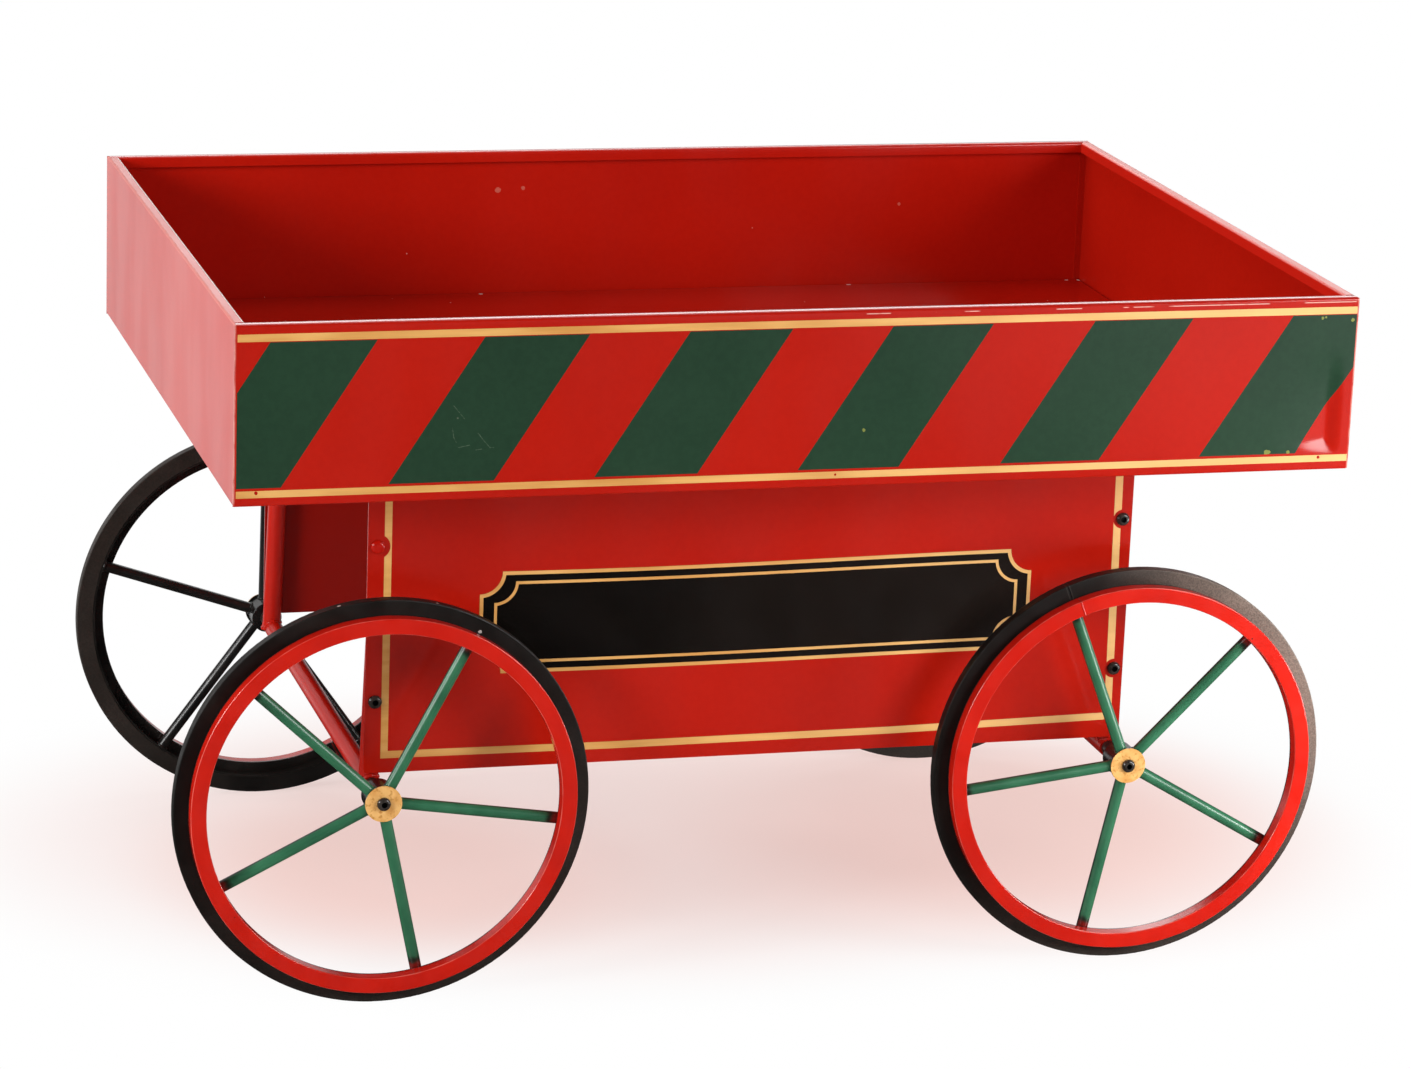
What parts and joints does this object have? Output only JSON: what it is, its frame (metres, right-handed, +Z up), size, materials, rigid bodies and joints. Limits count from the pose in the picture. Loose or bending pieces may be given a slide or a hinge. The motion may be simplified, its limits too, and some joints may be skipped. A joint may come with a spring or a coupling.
{
  "type": "display cart",
  "caption": "Open sheet-metal display tray on a round-tube frame with painted side panels and free-rolling rubber-tyred spoked wheels, for showing goods at a stall.",
  "frame": {"origin": "on the floor, under the middle of the wheels", "axes": "+X along the cart's length, to the right when facing the striped front; +Y from front to rear; +Z up"},
  "size_m": [0.9655, 0.6528, 0.5751],
  "materials": {
    "red_paint": "satin-gloss red paint",
    "green_paint": "gloss green paint",
    "gold_paint": "satin pale gold paint",
    "black_paint": "satin black paint",
    "black_screw": "black oxide",
    "sleeve_steel": "turned steel",
    "tyre_rubber": "smooth black rubber"
  },
  "bodies": {
    "cart": {"tray_floor": "red_paint", "tray_front_wall": "red_paint", "tray_rear_wall": "red_paint", "tray_left_wall": "red_paint", "tray_right_wall": "red_paint", "front_left_post": "red_paint", "front_right_post": "red_paint", "rear_left_post": "red_paint", "rear_right_post": "red_paint", "front_top_rail": "red_paint", "rear_top_rail": "red_paint", "left_cross_rail": "red_paint", "right_cross_rail": "red_paint", "left_axle_tube": "red_paint", "right_axle_tube": "red_paint", "front_side_panel": "red_paint", "rear_side_panel": "red_paint", "painted_panel_screw": "red_paint", "panel_screws": "black_screw", "axle_bolts": "black_screw", "axle_plugs": "sleeve_steel", "hub_washers": "gold_paint", "front_left_axle_sleeve": "sleeve_steel", "front_right_axle_sleeve": "sleeve_steel", "rear_left_axle_sleeve": "sleeve_steel", "rear_right_axle_sleeve": "sleeve_steel"},
    "front_left_wheel": {"front_left_tyre": "tyre_rubber", "front_left_rim": "red_paint", "front_left_spokes": "green_paint", "front_left_hub": "black_paint"},
    "front_right_wheel": {"front_right_tyre": "tyre_rubber", "front_right_rim": "red_paint", "front_right_spokes": "green_paint", "front_right_hub": "black_paint"},
    "rear_left_wheel": {"rear_left_tyre": "tyre_rubber", "rear_left_rim": "red_paint", "rear_left_spokes": "green_paint", "rear_left_hub": "black_paint"},
    "rear_right_wheel": {"rear_right_tyre": "tyre_rubber", "rear_right_rim": "red_paint", "rear_right_spokes": "green_paint", "rear_right_hub": "black_paint"}
  },
  "joints": [
    {"name": "front_left_wheel_spin", "type": "hinge", "parent": "cart", "child": "front_left_wheel", "pos_m": [-0.3143, -0.26574, 0.16846], "axis": [0, 1, 0], "continuous": true},
    {"name": "front_right_wheel_spin", "type": "hinge", "parent": "cart", "child": "front_right_wheel", "pos_m": [0.3143, -0.26574, 0.16846], "axis": [0, 1, 0], "continuous": true},
    {"name": "rear_left_wheel_spin", "type": "hinge", "parent": "cart", "child": "rear_left_wheel", "pos_m": [-0.3143, 0.26574, 0.16846], "axis": [0, 1, 0], "continuous": true},
    {"name": "rear_right_wheel_spin", "type": "hinge", "parent": "cart", "child": "rear_right_wheel", "pos_m": [0.3143, 0.26574, 0.16846], "axis": [0, 1, 0], "continuous": true}
  ]
}
